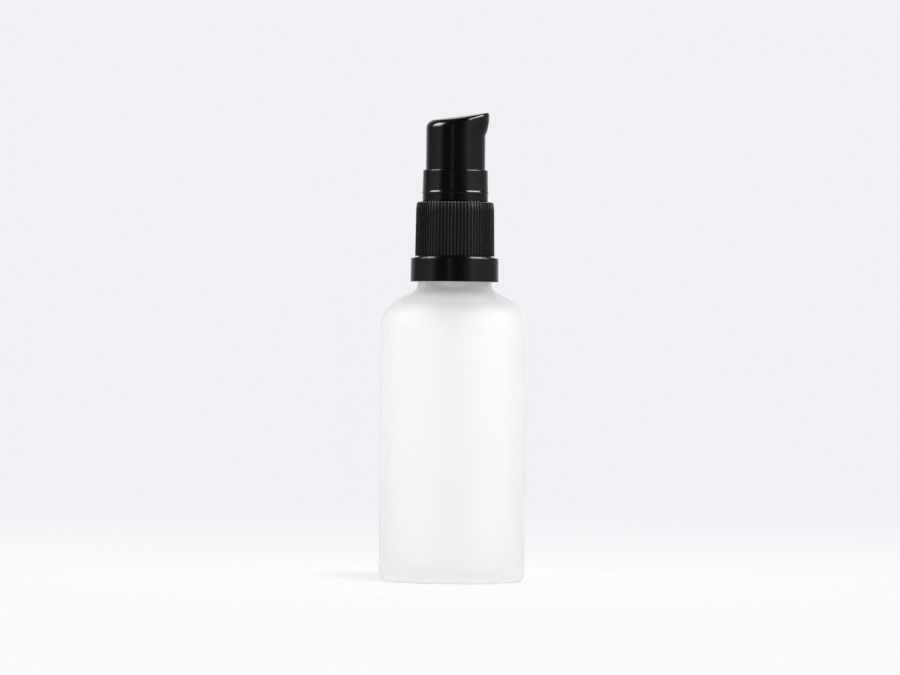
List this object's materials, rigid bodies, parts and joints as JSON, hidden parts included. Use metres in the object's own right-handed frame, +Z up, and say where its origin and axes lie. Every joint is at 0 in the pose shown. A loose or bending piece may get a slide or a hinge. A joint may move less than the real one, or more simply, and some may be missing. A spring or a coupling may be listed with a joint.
{
  "type": "pump oil bottle",
  "caption": "Frosted glass oil bottle with a rounded shoulder, a black ribbed screw closure, a tamper ring and a slant-topped pump head with a short nose.",
  "frame": {"origin": "centre of the bottle's foot, on the surface it stands on", "axes": "+Z up along the bottle's axis, +X the way the pump head's nose points"},
  "size_m": [0.037, 0.037, 0.1187],
  "materials": {
    "frosted_glass": "acid-frosted, milky",
    "black_gloss": "smooth moulded gloss",
    "black_satin": "moulded satin",
    "natural_plastic": "natural polypropylene",
    "soft_plastic": "waxy soft polyethylene",
    "steel": "bright drawn stainless steel"
  },
  "bodies": {
    "bottle": {"glass_bottle": "frosted_glass"},
    "ring": {"tamper_ring": "black_satin"},
    "engine": {"neck_gasket": "soft_plastic", "pump_housing": "natural_plastic", "chaplet": "natural_plastic", "guide_collar": "black_gloss", "return_spring": "steel", "ball_cage": "natural_plastic", "dip_tube": "soft_plastic"},
    "closure": {"ribbed_closure": "black_satin"},
    "inlet_valve": {"inlet_ball": "steel"},
    "piston": {"piston_seal": "soft_plastic"},
    "head": {"stem": "natural_plastic", "piston_post": "natural_plastic", "actuator": "black_gloss", "nozzle_insert": "black_satin"},
    "outlet_valve": {"outlet_ball": "steel"}
  },
  "joints": [
    {"name": "ring_turn", "type": "hinge", "parent": "bottle", "child": "ring", "pos_m": [0, 0, 0.0788], "axis": [0, 0, 1], "continuous": true},
    {"name": "thread_lift", "type": "slide", "parent": "bottle", "child": "engine", "axis": [0, 0, 1], "range_m": [0, 0.0045]},
    {"name": "closure_turn", "type": "hinge", "parent": "engine", "child": "closure", "pos_m": [0, 0, 0.089], "axis": [0, 0, 1], "range_deg": [0, 540]},
    {"name": "inlet_lift", "type": "slide", "parent": "engine", "child": "inlet_valve", "axis": [0, 0, 1], "range_m": [0, 0.0007]},
    {"name": "actuator_press", "type": "slide", "parent": "engine", "child": "piston", "axis": [0, 0, -1], "range_m": [0, 0.0055], "stiffness_N_per_m": 1100, "springref_m": -0.0055, "deforming": ["return_spring"]},
    {"name": "head_turn", "type": "hinge", "parent": "piston", "child": "head", "pos_m": [0, 0, 0.11], "axis": [0, 0, 1], "continuous": true},
    {"name": "outlet_lift", "type": "slide", "parent": "head", "child": "outlet_valve", "axis": [0, 0, 1], "range_m": [0, 0.0018]}
  ],
  "couplings": [
    {"joint": "thread_lift", "follows": "closure_turn", "m_per_rad": 0.00047746}
  ]
}
